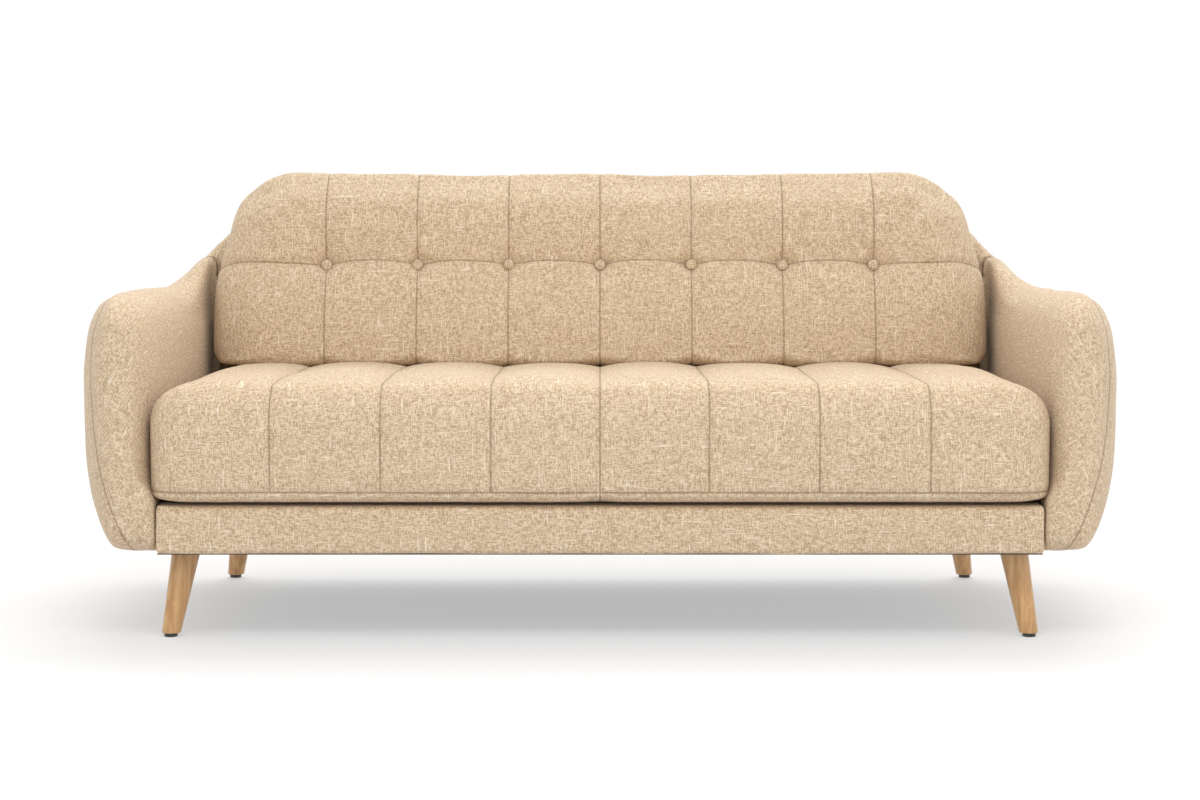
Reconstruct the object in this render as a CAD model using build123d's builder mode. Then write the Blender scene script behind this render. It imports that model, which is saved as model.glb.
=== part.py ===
from build123d import *

import os
from math import radians, sqrt, tan

# A three-seater sofa: a timber base on four splayed legs, two padded pod arms, a padded back with
# wings, one loose bench seat cushion and one loose buttoned back cushion.
# Millimetres. +X is the sitter's left, the front faces -Y, +Z is up, z = 0 is the floor.

os.makedirs("parts", exist_ok=True)

# Overall
overall_width = 1900
overall_depth = 860
leg_height = 153
base_height = 85
seat_thickness = 209
back_height = 800

# Clearances and materials
body_gap = 0.5
hole_clearance = 0.3
cover = 3
timber = 28
plywood = 18
strap = 1.5

# Base
rail_padding = 8
rail_round = 10
seat_overhang = 25
base_step = 14
base_step_height = 20
base_step_round = 12
centre_rail_drop = 30
corner_block = 70
deck_strap_width = 50
long_straps = 10
cross_straps = 3
dust_cloth = 1

# Legs
leg_top_radius = 25
leg_foot_radius = 16.5
leg_splay = 9.5
leg_inset_x = 40
leg_inset_rear = 45
leg_foot_round = 1.2
leg_trim = 12
plate_size = 66
plate_thickness = 3
plate_gap = 3
plate_screw_spacing = 50
plate_screw_radius = 2
plate_screw_length = 22
bolt_radius = 4
bolt_above = 42
bolt_below = 36
glide_radius = 12
glide_height = 7
glide_round = 1.5
glide_pin_radius = 2.5
glide_pin_length = 18

# Arms
arm_thickness = 158
arm_height = 611
arm_front_inset = 16
arm_front_round = 45
arm_foot_width = 115
arm_foot_round = 60
arm_bulge_height = 340
arm_bulge_round = 300
arm_roll_outer = 84
arm_roll_inner = 66
arm_panel_inset = 24
arm_panel_edge = 45
arm_panel_round = 70
arm_batten_height = 60
arm_bolt_radius = 4
arm_seam_foot = 150
arm_seam_middle = 66
arm_seam_top = 74
arm_bolt_spacing = 200
arm_bolt_middle = -60

# Back
back_lean = 10.5
back_thickness = 160
back_rear_lean = 64
back_foot_gap = 8
back_round = 38
back_foam = 24
back_rail = 20
back_rail_height = 60
back_rib_count = 4
back_strap_count = 12
back_board = 3
shoulder_width = 100
shoulder_round = 35
back_top_inset = 278
back_crown_round = 120
wing_inset = 320
back_rib_inset = 15
back_seam = 30
roll_height = 45

# Cushions
seat_side_gap = 6
seat_rear_gap = 2
seat_corner_round = 55
seat_edge_round = 40
back_cushion_thickness = 145
back_cushion_height = 380
back_cushion_side_gap = 22
back_corner_round = 140
back_edge_round = 45
button_count = 7
button_pitch = 182
button_height = 183
button_radius = 11
button_thickness = 7
button_round = 3
dimple_radius = 34
dimple_depth = 14
washer_radius = 8
washer_thickness = 3
twine_radius = 1
zip_width = 6
zip_depth = 2
zip_margin = 90

# Levels and places that follow from the sizes above
deck_z = leg_height + base_height
seat_bottom = deck_z + cover
seat_top = seat_bottom + seat_thickness
front_y = -overall_depth / 2
rear_y = overall_depth / 2
back_face_y = rear_y - back_thickness
arm_outer = overall_width / 2
arm_inner = arm_outer - arm_thickness
arm_inner_low = arm_inner - base_step
base_half = arm_inner_low - 1
base_front = front_y + seat_overhang
rail_bottom = leg_height + cover
rail_top = deck_z - cover - rail_padding
rail_front = base_front + cover + rail_padding
rail_back = rail_front + timber
strap_top = rail_top + 2 * strap
side_inner = base_half - timber
back_foot_rear = rear_y - back_rear_lean
frame_rear = back_foot_rear - back_foot_gap
rear_rail_front = frame_rear - timber
splay = tan(radians(leg_splay))
leg_stretch = sqrt(1 + 2 * splay**2)
leg_x = base_half - leg_inset_x
leg_front_y = rail_back + plate_gap + plate_size / 2
leg_rear_y = frame_rear - leg_inset_rear
arm_front = front_y + arm_front_inset
wing_start = arm_outer - wing_inset

# The leaning plane of the inside back: its x runs across, its y up the back and its z forward
back_plane = Plane(
    origin=(0, back_face_y, seat_top),
    x_dir=(1, 0, 0),
    z_dir=Vector(0, -1, 0).rotate(Axis.X, -back_lean),
)
leg_corners = {
    "front_left": (-1, leg_front_y, -1),
    "front_right": (1, leg_front_y, -1),
    "rear_left": (-1, leg_rear_y, 1),
    "rear_right": (1, leg_rear_y, 1),
}
sides = {"left": -1, "right": 1}


def finish(part, label):
    """Labels a finished piece and writes it to its own file."""
    part.label = label
    export_step(part, f"parts/{label}.step")


def face_y(height):
    """Where the leaning face of the inside back is at a given height."""
    return back_face_y + (height - seat_top) * tan(radians(back_lean))


def box(x0, x1, y0, y1, z0, z1):
    """A block given by its limits along X, Y and Z."""
    with BuildPart() as block:
        with BuildSketch(Plane.XY.offset(z0)):
            with Locations(((x0 + x1) / 2, (y0 + y1) / 2)):
                Rectangle(x1 - x0, y1 - y0)
        extrude(amount=z1 - z0)
    return block.part


def mirrored(part, side):
    """The piece itself on the right-hand side, its mirror image on the left."""
    return part if side > 0 else mirror(part, about=Plane.YZ, mode=Mode.PRIVATE)


def leg_axis(corner):
    """The plane across a leg's axis at the leg's top, with its z pointing down to the foot."""
    side, y, fore = leg_corners[corner]
    return Plane(
        origin=(side * leg_x, y, leg_height),
        x_dir=(0, 1, 0),
        z_dir=(side * splay, fore * splay, -1),
    )


def leg_bolt(corner, radius):
    """A rod along the leg's axis, through the plate and into the leg."""
    with BuildPart() as rod:
        with BuildSketch(leg_axis(corner).offset(-bolt_above)):
            Circle(radius)
        extrude(amount=bolt_above + bolt_below)
    return rod.part


def plate_screws(corner, radius):
    """The four screws that hold one leg plate to the frame."""
    side, y, _ = leg_corners[corner]
    with BuildPart() as screws:
        with BuildSketch(Plane.XY.offset(leg_height)):
            with Locations((side * leg_x, y)):
                with GridLocations(plate_screw_spacing, plate_screw_spacing, 2, 2):
                    Circle(radius)
        extrude(amount=plate_screw_length)
    return screws.part


def arm_bolts(side, radius):
    """The bolts that hold an arm to the side rail, in a row along the rail."""
    start = side_inner - arm_bolt_radius
    with BuildPart() as bolts:
        with BuildSketch(Plane.YZ.offset(side * start)):
            with Locations((arm_bolt_middle, (rail_bottom + rail_top) / 2)):
                with GridLocations(arm_bolt_spacing, 1, 3, 1):
                    Circle(radius)
        extrude(amount=side * (arm_inner_low + arm_panel_inset + plywood + arm_bolt_radius - start))
    return bolts.part


def outline(corners):
    """A closed outline through corners given as x, y and the radius that rounds each of them."""
    with BuildSketch() as shape:
        with BuildLine():
            Polyline(*[(x, y) for x, y, _ in corners], close=True)
        make_face()
        for x, y, radius in corners:
            if radius:
                fillet(shape.vertices().sort_by_distance((x, y))[0], radius)
    return shape.sketch


def flank():
    """The outside of an arm in the front view, from its foot up to its roll."""
    return [
        (arm_inner_low + arm_foot_width, leg_height, arm_foot_round),
        (arm_outer, arm_bulge_height, arm_bulge_round),
        (arm_outer, arm_height, arm_roll_outer),
    ]


def arm_pod(inset):
    """A pod arm, rounded at its front, its skin set in by a given amount. Right-hand side."""
    inner_side = [
        (arm_inner, arm_height, arm_roll_inner),
        (arm_inner, seat_bottom + base_step_height, base_step_round),
        (arm_inner_low, seat_bottom, 0),
        (arm_inner_low, leg_height, 0),
    ]
    far_end = back_face_y + arm_thickness
    with BuildPart() as pod:
        with BuildSketch(Plane.XZ.offset(-far_end)):
            add(outline(flank() + inner_side))
            if inset:
                offset(amount=-inset)
        extrude(amount=far_end - arm_front - inset)
        front_face = pod.faces().sort_by(Axis.Y)[0]
        long_edges = front_face.edges().filter_by(lambda edge: edge.length > arm_front_round)
        fillet(long_edges, arm_front_round - inset)
        split(bisect_by=back_plane.offset(body_gap), keep=Keep.TOP)
    return pod.part


def back_body(inset):
    """The whole padded back with its wings, its skin set in by a given amount."""
    side_view = [
        (face_y(leg_height), leg_height, 0),
        (back_foot_rear, leg_height, 0),
        (rear_y, back_height - back_round, 0),
        (rear_y, back_height, back_round - 1),
        (face_y(back_height), back_height, back_round),
    ]
    crown = [
        (arm_outer - shoulder_width, arm_height, shoulder_round),
        (arm_outer - back_top_inset, back_height, back_crown_round),
        (0, back_height, 0),
        (0, leg_height, 0),
    ]
    with BuildPart() as body:
        with BuildSketch(Plane.YZ.offset(-overall_width)):
            add(outline(side_view))
            if inset:
                offset(amount=-inset)
        extrude(amount=2 * overall_width)
        with BuildSketch(Plane.XZ.offset(-overall_depth)):
            add(outline(flank() + crown))
            mirror(about=Plane.YZ)
            if inset:
                offset(amount=-inset)
        extrude(amount=2 * overall_depth, mode=Mode.INTERSECT)
        base = (-arm_inner_low, arm_inner_low, front_y, frame_rear + body_gap, 0, seat_bottom)
        add(box(*base), mode=Mode.SUBTRACT)
    return body.part


def back_layer(near, far):
    """The slice of space between two depths behind the face of the inside back."""
    with BuildPart() as layer:
        with BuildSketch(back_plane.offset(-near)):
            Rectangle(2 * overall_width, 3 * back_height)
        extrude(amount=near - far)
    return layer.part


def seat_block(inset):
    """The bench seat cushion, its skin set in by a given amount."""
    half = arm_inner - seat_side_gap - inset
    back_of_seat = face_y(seat_bottom) - seat_rear_gap
    with BuildPart() as block:
        add(
            box(
                -half,
                half,
                front_y + inset,
                back_of_seat - inset,
                seat_bottom + inset,
                seat_top - inset,
            )
        )
        fillet(block.edges().filter_by(Axis.Z), seat_corner_round - inset)
        fillet(block.edges().group_by(Axis.Z)[-1], seat_edge_round - inset)
        fillet(block.edges().group_by(Axis.Z)[0], seat_edge_round - inset)
    return block.part


def back_block(inset):
    """The back cushion with its button dimples, its skin set in by a given amount."""
    half = arm_inner - back_cushion_side_gap - inset
    top = back_cushion_height - inset
    depth = back_cushion_thickness - 2 * inset
    with BuildPart() as block:
        with BuildSketch(back_plane.offset(body_gap + inset)):
            with Locations((0, (top - seat_top / 2) / 2)):
                Rectangle(2 * half, top + seat_top / 2)
            fillet(vertices().group_by(Axis.Y)[-1], back_corner_round - inset)
        extrude(amount=depth)
        front_face = block.faces().sort_by(Axis(back_plane.origin, back_plane.z_dir))[-1]
        fillet(front_face.edges(), back_edge_round - inset)
        split(bisect_by=Plane.XY.offset(seat_top + body_gap + inset), keep=Keep.TOP)
    return block.part


# ---- Base frame ----
plates = {}
screws = {}
for corner in leg_corners:
    side, y, _ = leg_corners[corner]
    with BuildPart() as plate:
        with BuildSketch(Plane.XY.offset(leg_height)):
            with Locations((side * leg_x, y)):
                RectangleRounded(plate_size, plate_size, plate_screw_radius * 3)
        extrude(amount=plate_thickness)
        add(plate_screws(corner, plate_screw_radius + hole_clearance), mode=Mode.SUBTRACT)
        add(leg_bolt(corner, bolt_radius + hole_clearance), mode=Mode.SUBTRACT)
    plates[corner] = plate.part
    screws[corner] = plate_screws(corner, plate_screw_radius)

with BuildPart() as leg_plates:
    add(plates.values())
finish(leg_plates.part, "leg_plates")

with BuildPart() as leg_plate_screws:
    add(screws.values())
finish(leg_plate_screws.part, "leg_plate_screws")

with BuildPart() as leg_bolts:
    for corner in leg_corners:
        add(leg_bolt(corner, bolt_radius))
finish(leg_bolts.part, "leg_bolts")

with BuildPart() as fixing_holes:
    for corner in leg_corners:
        add(leg_bolt(corner, bolt_radius + hole_clearance))
        add(plate_screws(corner, plate_screw_radius + hole_clearance))
    for side in sides.values():
        add(arm_bolts(side, arm_bolt_radius + hole_clearance))

frame_bottom = leg_height + plate_thickness
with BuildPart() as front_rail:
    add(box(-base_half, base_half, rail_front, rail_back, frame_bottom, rail_top))
finish(front_rail.part, "front_rail")

with BuildPart() as rear_rail:
    add(box(-base_half, base_half, rear_rail_front, frame_rear, frame_bottom, rail_top))
    add(fixing_holes.part, mode=Mode.SUBTRACT)
finish(rear_rail.part, "rear_rail")

for name, side in sides.items():
    with BuildPart() as side_rail:
        low, high = sorted((side * side_inner, side * base_half))
        add(box(low, high, rail_back, rear_rail_front, frame_bottom, rail_top + strap))
        add(fixing_holes.part, mode=Mode.SUBTRACT)
    finish(side_rail.part, f"{name}_side_rail")

with BuildPart() as centre_rail:
    low = frame_bottom
    high = rail_top - centre_rail_drop
    add(box(-timber / 2, timber / 2, rail_back, rear_rail_front, low, high))
finish(centre_rail.part, "centre_rail")

with BuildPart() as corner_blocks:
    for side in sides.values():
        low, high = sorted((side * (side_inner - corner_block), side * side_inner))
        add(box(low, high, rail_back, rail_back + corner_block, frame_bottom, rail_top))
        rear = (rear_rail_front - corner_block, rear_rail_front)
        add(box(low, high, *rear, frame_bottom, rail_top))
    add(fixing_holes.part, mode=Mode.SUBTRACT)
finish(corner_blocks.part, "corner_blocks")

# ---- Springing and lining of the base ----
strap_start = rail_front + timber / 4
strap_end = frame_rear - timber / 4
with BuildPart() as seat_straps_long:
    with BuildSketch(Plane.XY.offset(rail_top)):
        with Locations((0, (strap_start + strap_end) / 2)):
            with GridLocations(2 * side_inner / long_straps, 1, long_straps, 1):
                Rectangle(deck_strap_width, strap_end - strap_start)
    extrude(amount=strap)
finish(seat_straps_long.part, "seat_straps_long")

deck_depth = rear_rail_front - rail_back
with BuildPart() as seat_straps_cross:
    with BuildSketch(Plane.XY.offset(rail_top + strap)):
        with Locations((0, (rail_back + rear_rail_front) / 2)):
            with GridLocations(1, deck_depth / cross_straps, 1, cross_straps):
                Rectangle(2 * base_half - timber / 2, deck_strap_width)
    extrude(amount=strap)
finish(seat_straps_cross.part, "seat_straps_cross")

with BuildPart() as deck_pad:
    top = seat_bottom - body_gap
    add(box(-base_half, base_half, rail_back, frame_rear, strap_top, top))
finish(deck_pad.part, "deck_pad")

with BuildPart() as dust_cover:
    add(
        box(
            -base_half,
            base_half,
            base_front + rail_round,
            frame_rear,
            leg_height - dust_cloth - body_gap,
            leg_height - body_gap,
        )
    )
    with BuildSketch(Plane.XY.offset(leg_height - 2 * dust_cloth)):
        for side, y, _ in leg_corners.values():
            with Locations((side * leg_x, y)):
                Circle(leg_top_radius + leg_trim)
    extrude(amount=3 * dust_cloth, mode=Mode.SUBTRACT)
finish(dust_cover.part, "dust_cover")


def rail_wrap(inset, bottom):
    """The front rail's wrapping with its front corners rounded, set in by a given amount."""
    with BuildPart() as wrap:
        add(
            box(
                -base_half,
                base_half,
                base_front + inset,
                rail_back,
                bottom,
                deck_z - inset,
            )
        )
        front_edges = wrap.faces().sort_by(Axis.Y)[0].edges().filter_by(Axis.X)
        fillet(front_edges, rail_round - inset)
    return wrap.part


with BuildPart() as front_rail_padding:
    add(rail_wrap(cover, rail_bottom))
    add(front_rail.part, mode=Mode.SUBTRACT)
    straps = (-base_half, base_half, strap_start - body_gap, rail_back, rail_bottom, strap_top)
    add(box(*straps), mode=Mode.SUBTRACT)
finish(front_rail_padding.part, "front_rail_padding")

with BuildPart() as front_rail_cover:
    add(rail_wrap(0, leg_height))
    add(rail_wrap(cover, rail_bottom), mode=Mode.SUBTRACT)
finish(front_rail_cover.part, "front_rail_cover")

# ---- Legs and glides ----
leg_length = (leg_height - glide_height) * leg_stretch
taper = (leg_top_radius - leg_foot_radius) / leg_length


def glide_place(corner):
    """The centre of a glide on the floor."""
    side, y, fore = leg_corners[corner]
    reach = (leg_height - glide_height / 2) * splay
    return (side * (leg_x + reach), y + fore * reach)


def glide_pin(corner, radius):
    """The pin of a glide, standing up into the leg's end."""
    with BuildPart() as pin:
        with BuildSketch(Plane.XY.offset(glide_height)):
            with Locations(glide_place(corner)):
                Circle(radius)
        extrude(amount=glide_pin_length)
    return pin.part


for corner in leg_corners:
    with BuildPart() as leg:
        with BuildSketch(leg_axis(corner).offset(-leg_top_radius)):
            Circle(leg_top_radius * (1 + taper))
        with BuildSketch(leg_axis(corner).offset(leg_length + leg_foot_radius)):
            Circle(leg_foot_radius * (1 - taper))
        loft()
        split(bisect_by=Plane.XY.offset(leg_height), keep=Keep.BOTTOM)
        split(bisect_by=Plane.XY.offset(glide_height), keep=Keep.TOP)
        add(leg_bolt(corner, bolt_radius + hole_clearance), mode=Mode.SUBTRACT)
        add(glide_pin(corner, glide_pin_radius + hole_clearance), mode=Mode.SUBTRACT)
        fillet(leg.edges().group_by(Axis.Z)[0].sort_by(SortBy.LENGTH)[-1], leg_foot_round)
    finish(leg.part, f"{corner}_leg")

    with BuildPart() as glide:
        with BuildSketch():
            with Locations(glide_place(corner)):
                Circle(glide_radius)
        extrude(amount=glide_height)
        fillet(glide.edges().group_by(Axis.Z)[0], glide_round)
        add(glide_pin(corner, glide_pin_radius))
    finish(glide.part, f"{corner}_glide")

# ---- Arms ----
panel_inner = arm_inner_low + arm_panel_inset
panel_front = arm_front + arm_panel_edge
panel_top = arm_height - arm_roll_inner

with BuildPart() as panel_shape:
    with BuildSketch(Plane.YZ.offset(panel_inner)):
        add(
            outline(
                [
                    (panel_front, rail_bottom, 0),
                    (back_face_y + arm_thickness, rail_bottom, 0),
                    (back_face_y + arm_thickness, panel_top, 0),
                    (panel_front, panel_top, arm_panel_round),
                ]
            )
        )
    extrude(amount=plywood)
    split(bisect_by=back_plane.offset(body_gap), keep=Keep.TOP)

with BuildPart() as batten_shape:
    batten_end = face_y(leg_height) - timber
    batten_top = rail_bottom + arm_batten_height
    batten_inner = arm_inner_low + cover
    add(box(batten_inner, panel_inner, panel_front, batten_end, rail_bottom, batten_top))

with BuildPart() as outer_zone:
    with BuildSketch(Plane.XZ.offset(-overall_depth)):
        with BuildLine():
            seam = ThreePointArc(
                (arm_outer - arm_seam_foot, leg_height - timber),
                (arm_outer - arm_seam_middle, arm_bulge_height),
                (arm_outer - arm_seam_top, arm_height + timber),
            )
            Polyline(
                seam @ 1,
                (overall_width, arm_height + timber),
                (overall_width, leg_height - timber),
                seam @ 0,
            )
        make_face()
    extrude(amount=2 * overall_depth)

for name, side in sides.items():
    with BuildPart() as arm_panel:
        add(mirrored(panel_shape.part, side))
        add(fixing_holes.part, mode=Mode.SUBTRACT)
    finish(arm_panel.part, f"{name}_arm_panel")

    with BuildPart() as arm_batten:
        add(mirrored(batten_shape.part, side))
        add(fixing_holes.part, mode=Mode.SUBTRACT)
    finish(arm_batten.part, f"{name}_arm_batten")

    with BuildPart() as arm_foam:
        add(mirrored(arm_pod(cover), side))
        add(mirrored(panel_shape.part, side), mode=Mode.SUBTRACT)
        add(mirrored(batten_shape.part, side), mode=Mode.SUBTRACT)
        add(fixing_holes.part, mode=Mode.SUBTRACT)
    finish(arm_foam.part, f"{name}_arm_foam")

    with BuildPart() as arm_skin:
        add(mirrored(arm_pod(0), side))
        add(mirrored(arm_pod(cover), side), mode=Mode.SUBTRACT)
        add(fixing_holes.part, mode=Mode.SUBTRACT)

    with BuildPart() as arm_front_cover:
        add(arm_skin.part)
        add(mirrored(outer_zone.part, side), mode=Mode.SUBTRACT)
    finish(arm_front_cover.part, f"{name}_arm_front_cover")

    with BuildPart() as arm_outer_cover:
        add(arm_skin.part)
        add(mirrored(outer_zone.part, side), mode=Mode.INTERSECT)
    finish(arm_outer_cover.part, f"{name}_arm_outer_cover")

with BuildPart() as arm_bolt_set:
    for side in sides.values():
        add(arm_bolts(side, arm_bolt_radius))
finish(arm_bolt_set.part, "arm_bolts")

# ---- Back ----
# Depths behind the face of the inside back, from the cover to the ribs
foam_back = cover + back_foam
strap_back = foam_back + strap
rail_depth = strap_back + back_rail
frame_low = seat_bottom + body_gap
frame_high = back_height - roll_height

with BuildPart() as back_foam_pad:
    add(back_body(cover))
    add(back_layer(0, foam_back), mode=Mode.INTERSECT)
finish(back_foam_pad.part, "back_foam")

with BuildPart() as behind_foam:
    add(back_body(cover))
    add(back_layer(foam_back, overall_depth), mode=Mode.INTERSECT)

with BuildPart() as back_top_roll:
    add(behind_foam.part)
    roll = (-wing_start, wing_start, front_y, rear_y, frame_high, back_height)
    add(box(*roll), mode=Mode.INTERSECT)
finish(back_top_roll.part, "back_top_roll")

for name, side in sides.items():
    with BuildPart() as wing:
        add(behind_foam.part)
        low, high = sorted((side * wing_start, side * overall_width))
        add(box(low, high, front_y, rear_y, 0, back_height), mode=Mode.INTERSECT)
    finish(wing.part, f"{name}_wing_block")

with BuildPart() as board:
    add(back_body(cover))
    add(back_body(cover + back_board), mode=Mode.SUBTRACT)
    add(back_layer(rail_depth, overall_depth), mode=Mode.INTERSECT)
    limits = (-wing_start, wing_start, rear_y / 2, rear_y, frame_low, frame_high)
    add(box(*limits), mode=Mode.INTERSECT)
finish(board.part, "back_board")

with BuildPart() as rib_zone:
    add(back_body(cover + back_board))
    add(back_layer(rail_depth, overall_depth), mode=Mode.INTERSECT)

rib_half = wing_start - back_rib_inset
rib_xs = [rib_half * (2 * index / (back_rib_count - 1) - 1) for index in range(back_rib_count)]
with BuildPart() as rib_slots:
    for x in rib_xs:
        add(box(x - plywood / 2, x + plywood / 2, 0, rear_y, frame_low, frame_high))

with BuildPart() as back_ribs:
    add(rib_zone.part)
    add(rib_slots.part, mode=Mode.INTERSECT)
finish(back_ribs.part, "back_ribs")


def back_rail_at(low):
    """A rail across the ribs' fronts, from a given height upward."""
    with BuildPart() as rail:
        add(back_layer(strap_back, rail_depth))
        limits = (-wing_start, wing_start, 0, rear_y, low, low + back_rail_height)
        add(box(*limits), mode=Mode.INTERSECT)
    return rail.part


finish(back_rail_at(frame_low), "back_lower_rail")
finish(back_rail_at(frame_high - back_rail_height), "back_top_rail")

with BuildPart() as back_straps:
    with BuildSketch(back_plane.offset(-strap_back)):
        with GridLocations(2 * wing_start / back_strap_count, 1, back_strap_count, 1):
            Rectangle(deck_strap_width, 2 * back_height)
    extrude(amount=strap)
    limits = (-wing_start, wing_start, 0, rear_y, frame_low, frame_high)
    add(box(*limits), mode=Mode.INTERSECT)
finish(back_straps.part, "back_straps")

with BuildPart() as back_skin:
    add(back_body(0))
    add(back_body(cover), mode=Mode.SUBTRACT)

with BuildPart() as inside_back_cover:
    add(back_skin.part)
    add(back_layer(-cover, cover + back_seam), mode=Mode.INTERSECT)
finish(inside_back_cover.part, "inside_back_cover")

with BuildPart() as outside_back_cover:
    add(back_skin.part)
    add(back_layer(cover + back_seam, overall_depth), mode=Mode.INTERSECT)
finish(outside_back_cover.part, "outside_back_cover")

# ---- Seat cushion ----
zip_half = arm_inner - zip_margin
seat_rear = face_y(seat_bottom) - seat_rear_gap
with BuildPart() as seat_zip:
    middle = (seat_bottom + seat_top) / 2
    limits = (-zip_half, zip_half, seat_rear - zip_depth, seat_rear)
    add(box(*limits, middle - zip_width / 2, middle + zip_width / 2))
finish(seat_zip.part, "seat_cushion_zip")

with BuildPart() as seat_core:
    add(seat_block(cover))
finish(seat_core.part, "seat_cushion_core")

with BuildPart() as seat_cover:
    add(seat_block(0))
    add(seat_block(cover), mode=Mode.SUBTRACT)
    add(seat_zip.part, mode=Mode.SUBTRACT)
finish(seat_cover.part, "seat_cushion_cover")

# ---- Back cushion ----
dimple_floor = back_plane.offset(body_gap + back_cushion_thickness - dimple_depth)
washer_seat = back_plane.offset(body_gap)


def button_row():
    """The places of the buttons, in the plane of the inside back."""
    with BuildSketch() as row:
        with Locations((0, button_height)):
            with GridLocations(button_pitch, 1, button_count, 1):
                Circle(button_radius)
    return [face.center() for face in row.sketch.faces()]


button_places = [(place.X, place.Y) for place in button_row()]


def button_cylinders(plane, radius, length):
    """One cylinder at every button, from a plane forward."""
    with BuildPart() as rods:
        with BuildSketch(plane):
            with Locations(*button_places):
                Circle(radius)
        extrude(amount=length)
    return rods.part


def dimple_at(place, inset):
    """The hollow that one button pulls into the front of the cushion."""
    with BuildPart() as hollow:
        with BuildSketch(dimple_floor.offset(-inset)):
            with Locations(place):
                Circle(button_radius + 1)
        with BuildSketch(dimple_floor.offset(dimple_depth + 1)):
            with Locations(place):
                Circle(dimple_radius)
        loft()
    return hollow.part


with BuildPart() as twine_holes:
    holes = back_cushion_thickness - dimple_depth
    add(button_cylinders(washer_seat, twine_radius + hole_clearance, holes))

with BuildPart() as washer_pockets:
    pocket = washer_thickness + 2 * hole_clearance
    add(button_cylinders(washer_seat, washer_radius + hole_clearance, pocket))

with BuildPart() as back_zip:
    low = seat_top + body_gap
    behind = back_face_y - back_cushion_thickness / 2
    limits = (-zip_half, zip_half, behind - zip_width / 2, behind + zip_width / 2)
    add(box(*limits, low, low + zip_depth))
finish(back_zip.part, "back_cushion_zip")

with BuildPart() as back_core:
    add(back_block(cover))
    for place in button_places:
        add(dimple_at(place, cover), mode=Mode.SUBTRACT)
    add(twine_holes.part, mode=Mode.SUBTRACT)
    add(washer_pockets.part, mode=Mode.SUBTRACT)
finish(back_core.part, "back_cushion_core")

with BuildPart() as back_cover:
    add(back_block(0))
    add(back_block(cover), mode=Mode.SUBTRACT)
    for place in button_places:
        add(dimple_at(place, 0), mode=Mode.SUBTRACT)
    add(twine_holes.part, mode=Mode.SUBTRACT)
    add(washer_pockets.part, mode=Mode.SUBTRACT)
    add(back_zip.part, mode=Mode.SUBTRACT)
finish(back_cover.part, "back_cushion_cover")

with BuildPart() as buttons:
    add(button_cylinders(dimple_floor, button_radius, button_thickness))
    fillet(buttons.edges().group_by(Axis(back_plane.origin, back_plane.z_dir))[-1], button_round)
finish(buttons.part, "back_cushion_buttons")

with BuildPart() as washers:
    add(button_cylinders(washer_seat, washer_radius, washer_thickness))
finish(washers.part, "back_cushion_washers")

with BuildPart() as twine:
    start = washer_seat.offset(washer_thickness)
    reach = back_cushion_thickness - dimple_depth - washer_thickness
    add(button_cylinders(start, twine_radius, reach))
finish(twine.part, "back_cushion_twine")
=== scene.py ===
from math import cos, pi, radians, sin, tan

import bmesh
import bpy
import numpy as np
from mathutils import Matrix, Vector


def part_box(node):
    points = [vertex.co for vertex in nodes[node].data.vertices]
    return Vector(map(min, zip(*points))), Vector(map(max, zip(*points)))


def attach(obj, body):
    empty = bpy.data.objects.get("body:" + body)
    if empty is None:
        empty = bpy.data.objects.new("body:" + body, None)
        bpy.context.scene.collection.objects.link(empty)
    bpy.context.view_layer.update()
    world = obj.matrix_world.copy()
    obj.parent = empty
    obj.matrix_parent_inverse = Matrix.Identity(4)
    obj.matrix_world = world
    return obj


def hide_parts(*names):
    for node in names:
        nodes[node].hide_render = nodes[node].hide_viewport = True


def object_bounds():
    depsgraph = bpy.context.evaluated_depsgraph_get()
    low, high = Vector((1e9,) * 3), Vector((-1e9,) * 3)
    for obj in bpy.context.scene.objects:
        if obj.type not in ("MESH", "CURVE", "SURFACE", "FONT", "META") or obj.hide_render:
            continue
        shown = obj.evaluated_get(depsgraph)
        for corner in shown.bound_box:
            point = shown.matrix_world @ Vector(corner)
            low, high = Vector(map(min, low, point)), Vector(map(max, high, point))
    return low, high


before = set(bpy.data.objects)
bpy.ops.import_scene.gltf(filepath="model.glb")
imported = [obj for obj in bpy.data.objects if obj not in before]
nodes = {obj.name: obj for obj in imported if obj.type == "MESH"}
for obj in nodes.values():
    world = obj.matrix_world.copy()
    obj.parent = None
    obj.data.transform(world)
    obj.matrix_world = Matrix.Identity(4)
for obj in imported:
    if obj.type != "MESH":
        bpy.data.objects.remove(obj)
cad_low, cad_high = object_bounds()
scene = bpy.context.scene

# ---------------------------------------------------------------- sizes and places, in metres
seat_low, seat_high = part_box("seat_cushion_cover")
rail_low, rail_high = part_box("front_rail_cover")
deck_low, deck_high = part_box("deck_pad")

FLOOR_GAP = rail_low.z
ARM_OUTER = cad_high.x
ARM_TOP = 0.611
ARM_BESIDE_RAIL = 0.779
ARM_FRONT = -0.414
BACK_TOP = 0.800
LEAN = radians(10.5)
BACK_ORIGIN = Vector((0, 0.27, 0.45))
BACK_UP = Vector((0, sin(LEAN), cos(LEAN)))
BACK_FORWARD = Vector((0, -cos(LEAN), sin(LEAN)))
BUTTON_PITCH = 0.182
BUTTON_UP = 0.183
OUTER_BUTTON = 3 * BUTTON_PITCH
BUTTONS = [(k - 3) * BUTTON_PITCH for k in range(7)]
SEAT_SEAMS = [-0.575, -0.382, -0.190, 0.0, 0.190, 0.382, 0.575]
# A seam distance that draws no seam, and half the gap between the arms and the back where they meet
NO_SEAM = 0.2
FACE_GAP = 0.0004


# ---------------------------------------------------------------- numbers over a surface
def smooth(low, high, value):
    """0 below low, 1 above high, and a smooth turn between them."""
    t = np.clip((np.asarray(value, float) - low) / (high - low), 0, 1)
    return t * t * (3 - 2 * t)


def bell(value, width):
    return np.exp(-(np.asarray(value, float) / width) ** 2)


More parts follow.
